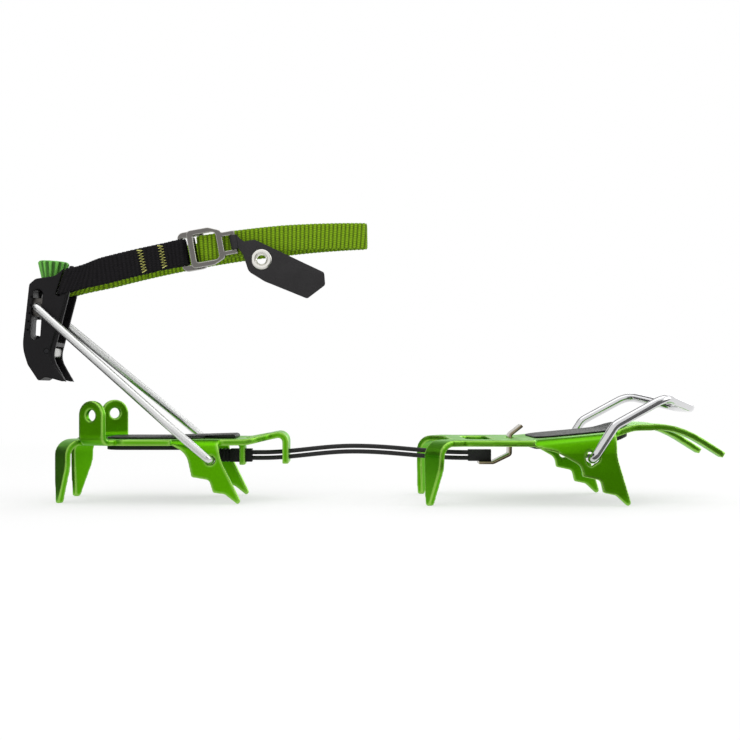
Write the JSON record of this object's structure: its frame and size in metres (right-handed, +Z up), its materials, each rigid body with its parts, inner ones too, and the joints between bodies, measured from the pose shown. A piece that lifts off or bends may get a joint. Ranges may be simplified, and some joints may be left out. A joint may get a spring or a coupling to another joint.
{
  "type": "mountaineering crampon",
  "caption": "Mountaineering crampon of bent green plates with downward points, joined by a cable link, with a wire toe bail, a heel lever bail and an ankle strap with buckle.",
  "frame": {"origin": "on the ground plane that the points stand on, at the middle of the overall box", "axes": "+X from the heel to the toe, +Y to the left of the boot, +Z up from the ground"},
  "size_m": [0.3417, 0.0862, 0.138],
  "materials": {
    "green_anodised": "satin green anodised",
    "black_plastic": "fine moulded grain",
    "green_plastic": "moulded, ribbed",
    "bright_steel": "polished",
    "satin_steel": "satin",
    "buckle_steel": "dark satin",
    "cable_coat": "smooth coating",
    "black_webbing": "woven nylon",
    "green_webbing": "woven nylon",
    "thread": "sewn thread",
    "tab_rubber": "matte"
  },
  "bodies": {
    "heel_section": {"heel_plate": "green_anodised", "heel_antiball_plate": "black_plastic", "cable_bush": "black_plastic", "cable_adjuster": "black_plastic"},
    "link": {"link_cables": "cable_coat", "cable_tail_stop": "black_plastic"},
    "front_section": {"front_plate": "green_anodised", "front_antiball_plate": "black_plastic", "link_hook": "satin_steel", "link_ferrule": "cable_coat"},
    "toe_bail": {"toe_bail": "bright_steel"},
    "heel_bail": {"heel_bail": "satin_steel"},
    "carriage": {"bail_carriage": "satin_steel"},
    "lever": {"heel_lever": "black_plastic", "hook_pad": "satin_steel", "hook_pad_pin": "satin_steel", "strap_black": "black_webbing", "strap_green": "green_webbing", "strap_bartacks": "thread", "buckle_frame": "buckle_steel"},
    "knob": {"adjuster_screw": "bright_steel", "adjuster_knob": "green_plastic"},
    "buckle_slider": {"buckle_slider": "buckle_steel"},
    "pull_tab": {"pull_tab": "tab_rubber", "tab_eyelet": "bright_steel"}
  },
  "joints": [
    {"name": "link_length", "type": "slide", "parent": "heel_section", "child": "link", "axis": [1, 0, 0], "range_m": [-0.012, 0]},
    {"name": "link_flex", "type": "hinge", "parent": "link", "child": "front_section", "pos_m": [-0.008, 0, 0.0254], "axis": [0, 1, 0], "range_deg": [-20, 15], "deforming": ["link_cables"]},
    {"name": "toe_bail_swing", "type": "hinge", "parent": "front_section", "child": "toe_bail", "pos_m": [0.1036, 0, 0.0224], "axis": [0, 1, 0], "range_deg": [-90, 10]},
    {"name": "heel_bail_swing", "type": "hinge", "parent": "heel_section", "child": "heel_bail", "pos_m": [-0.077, 0, 0.0211], "axis": [0, -1, 0], "range_deg": [-25, 15]},
    {"name": "lever_pivot", "type": "hinge", "parent": "heel_bail", "child": "carriage", "pos_m": [-0.164, 0, 0.0956], "axis": [0, -1, 0], "range_deg": [-10, 100]},
    {"name": "micro_adjust", "type": "slide", "parent": "carriage", "child": "lever", "axis": [0.061, 0, 0.9981], "range_m": [-0.004, 0.0105]},
    {"name": "knob_spin", "type": "hinge", "parent": "lever", "child": "knob", "pos_m": [-0.15864, 0, 0.1095], "axis": [0.061, 0, 0.9981], "range_deg": [-725, 1895]},
    {"name": "buckle_release", "type": "hinge", "parent": "lever", "child": "buckle_slider", "pos_m": [-0.08704, -0.01125, 0.12299], "axis": [0.1773, 0, -0.9842], "range_deg": [0, 22]},
    {"name": "pull_tab_swing", "type": "hinge", "parent": "buckle_slider", "child": "pull_tab", "pos_m": [-0.06642, -0.0166, 0.1267], "axis": [0.1773, 0, -0.9842], "range_deg": [0, 60]}
  ],
  "couplings": [
    {"joint": "knob_spin", "follows": "micro_adjust", "rad_per_m": 3141.6}
  ]
}
